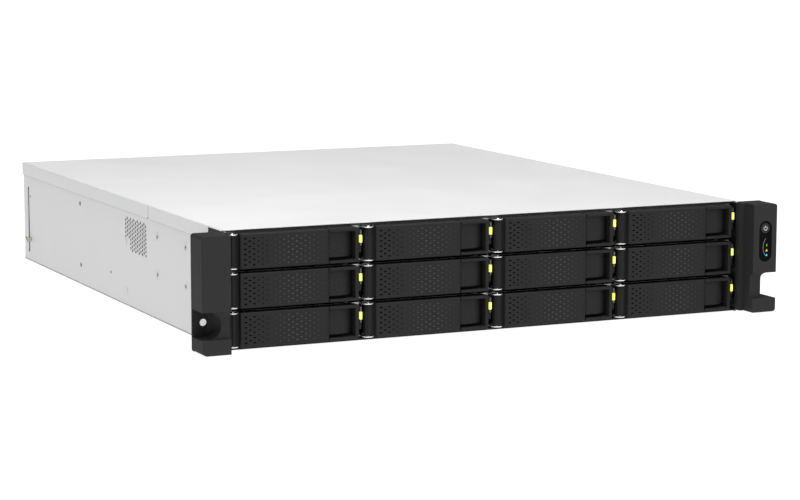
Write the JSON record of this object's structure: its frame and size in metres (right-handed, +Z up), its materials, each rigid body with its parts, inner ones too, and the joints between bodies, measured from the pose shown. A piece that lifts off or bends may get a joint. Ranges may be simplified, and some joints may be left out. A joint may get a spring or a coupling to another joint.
{
  "type": "rack-mount network attached storage server",
  "caption": "Low rack-mount storage server with hinged hot-swap drive trays, rack ears with a power button, a split lid, fans and plug-in power supplies.",
  "frame": {"origin": "centre of the whole box in X and Y, on the chassis's bottom face", "axes": "+X to the right seen from the front, +Y towards the back, +Z up"},
  "size_m": [0.4826, 0.555, 0.0881],
  "materials": {
    "pale_grey_paint": "fine satin powder coat",
    "zinc_steel": "zinc-plated sheet steel",
    "black_plastic": "fine spark-eroded texture",
    "cast_aluminium": "cast and machined",
    "circuit_board": "solder mask",
    "heatsink_aluminium": "extruded",
    "fan_plastic": "moulded",
    "release_plastic": "moulded",
    "supply_steel": "nickel-plated sheet steel",
    "screw_steel": "zinc-plated",
    "button_plastic": "polished"
  },
  "bodies": {
    "chassis": {"chassis_base": "pale_grey_paint", "front_cover": "pale_grey_paint", "rear_panel": "zinc_steel", "drive_cage": "zinc_steel", "backplane": "circuit_board", "fan_wall": "zinc_steel", "supply_bay": "zinc_steel", "mainboard": "circuit_board", "processor_heatsink": "heatsink_aluminium", "memory_modules": "circuit_board", "ear_left": "black_plastic", "ear_right": "black_plastic", "side_screws_and_studs": "screw_steel"},
    "tray_1_1": {"tray_1_1": "zinc_steel", "drive_1_1": "cast_aluminium"},
    "handle_1_1": {"handle_1_1": "black_plastic"},
    "tray_1_2": {"tray_1_2": "zinc_steel", "drive_1_2": "cast_aluminium"},
    "handle_1_2": {"handle_1_2": "black_plastic"},
    "tray_1_3": {"tray_1_3": "zinc_steel", "drive_1_3": "cast_aluminium"},
    "handle_1_3": {"handle_1_3": "black_plastic"},
    "tray_1_4": {"tray_1_4": "zinc_steel", "drive_1_4": "cast_aluminium"},
    "handle_1_4": {"handle_1_4": "black_plastic"},
    "tray_2_1": {"tray_2_1": "zinc_steel", "drive_2_1": "cast_aluminium"},
    "handle_2_1": {"handle_2_1": "black_plastic"},
    "tray_2_2": {"tray_2_2": "zinc_steel", "drive_2_2": "cast_aluminium"},
    "handle_2_2": {"handle_2_2": "black_plastic"},
    "tray_2_3": {"tray_2_3": "zinc_steel", "drive_2_3": "cast_aluminium"},
    "handle_2_3": {"handle_2_3": "black_plastic"},
    "tray_2_4": {"tray_2_4": "zinc_steel", "drive_2_4": "cast_aluminium"},
    "handle_2_4": {"handle_2_4": "black_plastic"},
    "tray_3_1": {"tray_3_1": "zinc_steel", "drive_3_1": "cast_aluminium"},
    "handle_3_1": {"handle_3_1": "black_plastic"},
    "tray_3_2": {"tray_3_2": "zinc_steel", "drive_3_2": "cast_aluminium"},
    "handle_3_2": {"handle_3_2": "black_plastic"},
    "tray_3_3": {"tray_3_3": "zinc_steel", "drive_3_3": "cast_aluminium"},
    "handle_3_3": {"handle_3_3": "black_plastic"},
    "tray_3_4": {"tray_3_4": "zinc_steel", "drive_3_4": "cast_aluminium"},
    "handle_3_4": {"handle_3_4": "black_plastic"},
    "rear_cover": {"rear_cover": "pale_grey_paint"},
    "power_button": {"power_button": "button_plastic"},
    "supply_1": {"supply_1": "supply_steel"},
    "supply_lever_1": {"supply_lever_1": "release_plastic"},
    "supply_fan_1": {"supply_fan_1": "fan_plastic"},
    "supply_2": {"supply_2": "supply_steel"},
    "supply_lever_2": {"supply_lever_2": "release_plastic"},
    "supply_fan_2": {"supply_fan_2": "fan_plastic"},
    "fan_rotor_1": {"fan_rotor_1": "fan_plastic"},
    "fan_rotor_2": {"fan_rotor_2": "fan_plastic"},
    "fan_rotor_3": {"fan_rotor_3": "fan_plastic"}
  },
  "joints": [
    {"name": "tray_1_1_slide", "type": "slide", "parent": "chassis", "child": "tray_1_1", "axis": [0, -1, 0], "range_m": [0, 0.18]},
    {"name": "handle_1_1_swing", "type": "hinge", "parent": "tray_1_1", "child": "handle_1_1", "pos_m": [-0.211, -0.2575, 0.07254], "axis": [0, 0, -1], "range_deg": [0, 80]},
    {"name": "tray_1_2_slide", "type": "slide", "parent": "chassis", "child": "tray_1_2", "axis": [0, -1, 0], "range_m": [0, 0.18]},
    {"name": "handle_1_2_swing", "type": "hinge", "parent": "tray_1_2", "child": "handle_1_2", "pos_m": [-0.1037, -0.2575, 0.07254], "axis": [0, 0, -1], "range_deg": [0, 80]},
    {"name": "tray_1_3_slide", "type": "slide", "parent": "chassis", "child": "tray_1_3", "axis": [0, -1, 0], "range_m": [0, 0.18]},
    {"name": "handle_1_3_swing", "type": "hinge", "parent": "tray_1_3", "child": "handle_1_3", "pos_m": [0.0036, -0.2575, 0.07254], "axis": [0, 0, -1], "range_deg": [0, 80]},
    {"name": "tray_1_4_slide", "type": "slide", "parent": "chassis", "child": "tray_1_4", "axis": [0, -1, 0], "range_m": [0, 0.18]},
    {"name": "handle_1_4_swing", "type": "hinge", "parent": "tray_1_4", "child": "handle_1_4", "pos_m": [0.1109, -0.2575, 0.07254], "axis": [0, 0, -1], "range_deg": [0, 80]},
    {"name": "tray_2_1_slide", "type": "slide", "parent": "chassis", "child": "tray_2_1", "axis": [0, -1, 0], "range_m": [0, 0.18]},
    {"name": "handle_2_1_swing", "type": "hinge", "parent": "tray_2_1", "child": "handle_2_1", "pos_m": [-0.211, -0.2575, 0.04382], "axis": [0, 0, -1], "range_deg": [0, 80]},
    {"name": "tray_2_2_slide", "type": "slide", "parent": "chassis", "child": "tray_2_2", "axis": [0, -1, 0], "range_m": [0, 0.18]},
    {"name": "handle_2_2_swing", "type": "hinge", "parent": "tray_2_2", "child": "handle_2_2", "pos_m": [-0.1037, -0.2575, 0.04382], "axis": [0, 0, -1], "range_deg": [0, 80]},
    {"name": "tray_2_3_slide", "type": "slide", "parent": "chassis", "child": "tray_2_3", "axis": [0, -1, 0], "range_m": [0, 0.18]},
    {"name": "handle_2_3_swing", "type": "hinge", "parent": "tray_2_3", "child": "handle_2_3", "pos_m": [0.0036, -0.2575, 0.04382], "axis": [0, 0, -1], "range_deg": [0, 80]},
    {"name": "tray_2_4_slide", "type": "slide", "parent": "chassis", "child": "tray_2_4", "axis": [0, -1, 0], "range_m": [0, 0.18]},
    {"name": "handle_2_4_swing", "type": "hinge", "parent": "tray_2_4", "child": "handle_2_4", "pos_m": [0.1109, -0.2575, 0.04382], "axis": [0, 0, -1], "range_deg": [0, 80]},
    {"name": "tray_3_1_slide", "type": "slide", "parent": "chassis", "child": "tray_3_1", "axis": [0, -1, 0], "range_m": [0, 0.18]},
    {"name": "handle_3_1_swing", "type": "hinge", "parent": "tray_3_1", "child": "handle_3_1", "pos_m": [-0.211, -0.2575, 0.0151], "axis": [0, 0, -1], "range_deg": [0, 80]},
    {"name": "tray_3_2_slide", "type": "slide", "parent": "chassis", "child": "tray_3_2", "axis": [0, -1, 0], "range_m": [0, 0.18]},
    {"name": "handle_3_2_swing", "type": "hinge", "parent": "tray_3_2", "child": "handle_3_2", "pos_m": [-0.1037, -0.2575, 0.0151], "axis": [0, 0, -1], "range_deg": [0, 80]},
    {"name": "tray_3_3_slide", "type": "slide", "parent": "chassis", "child": "tray_3_3", "axis": [0, -1, 0], "range_m": [0, 0.18]},
    {"name": "handle_3_3_swing", "type": "hinge", "parent": "tray_3_3", "child": "handle_3_3", "pos_m": [0.0036, -0.2575, 0.0151], "axis": [0, 0, -1], "range_deg": [0, 80]},
    {"name": "tray_3_4_slide", "type": "slide", "parent": "chassis", "child": "tray_3_4", "axis": [0, -1, 0], "range_m": [0, 0.18]},
    {"name": "handle_3_4_swing", "type": "hinge", "parent": "tray_3_4", "child": "handle_3_4", "pos_m": [0.1109, -0.2575, 0.0151], "axis": [0, 0, -1], "range_deg": [0, 80]},
    {"name": "rear_cover_slide", "type": "slide", "parent": "chassis", "child": "rear_cover", "axis": [0, 1, 0], "range_m": [0, 0.012]},
    {"name": "power_button_press", "type": "slide", "parent": "chassis", "child": "power_button", "axis": [0, 1, 0], "range_m": [0, 0.0012], "stiffness_N_per_m": 300},
    {"name": "supply_1_slide", "type": "slide", "parent": "chassis", "child": "supply_1", "axis": [0, 1, 0], "range_m": [0, 0.19]},
    {"name": "supply_lever_1_press", "type": "hinge", "parent": "supply_1", "child": "supply_lever_1", "pos_m": [0.20745, 0.2515, 0.03295], "axis": [0, 0, 1], "range_deg": [0, 8], "stiffness_Nm_per_rad": 0.05},
    {"name": "supply_fan_1_spin", "type": "hinge", "parent": "supply_1", "child": "supply_fan_1", "pos_m": [0.16135, 0.252, 0.0217], "axis": [0, 1, 0], "continuous": true},
    {"name": "supply_2_slide", "type": "slide", "parent": "chassis", "child": "supply_2", "axis": [0, 1, 0], "range_m": [0, 0.19]},
    {"name": "supply_lever_2_press", "type": "hinge", "parent": "supply_2", "child": "supply_lever_2", "pos_m": [0.20745, 0.2515, 0.07395], "axis": [0, 0, 1], "range_deg": [0, 8], "stiffness_Nm_per_rad": 0.05},
    {"name": "supply_fan_2_spin", "type": "hinge", "parent": "supply_2", "child": "supply_fan_2", "pos_m": [0.16135, 0.252, 0.0627], "axis": [0, 1, 0], "continuous": true},
    {"name": "fan_rotor_1_spin", "type": "hinge", "parent": "chassis", "child": "fan_rotor_1", "pos_m": [-0.12, -0.0755, 0.0414], "axis": [0, 1, 0], "continuous": true},
    {"name": "fan_rotor_2_spin", "type": "hinge", "parent": "chassis", "child": "fan_rotor_2", "pos_m": [0, -0.0755, 0.0414], "axis": [0, 1, 0], "continuous": true},
    {"name": "fan_rotor_3_spin", "type": "hinge", "parent": "chassis", "child": "fan_rotor_3", "pos_m": [0.12, -0.0755, 0.0414], "axis": [0, 1, 0], "continuous": true}
  ]
}
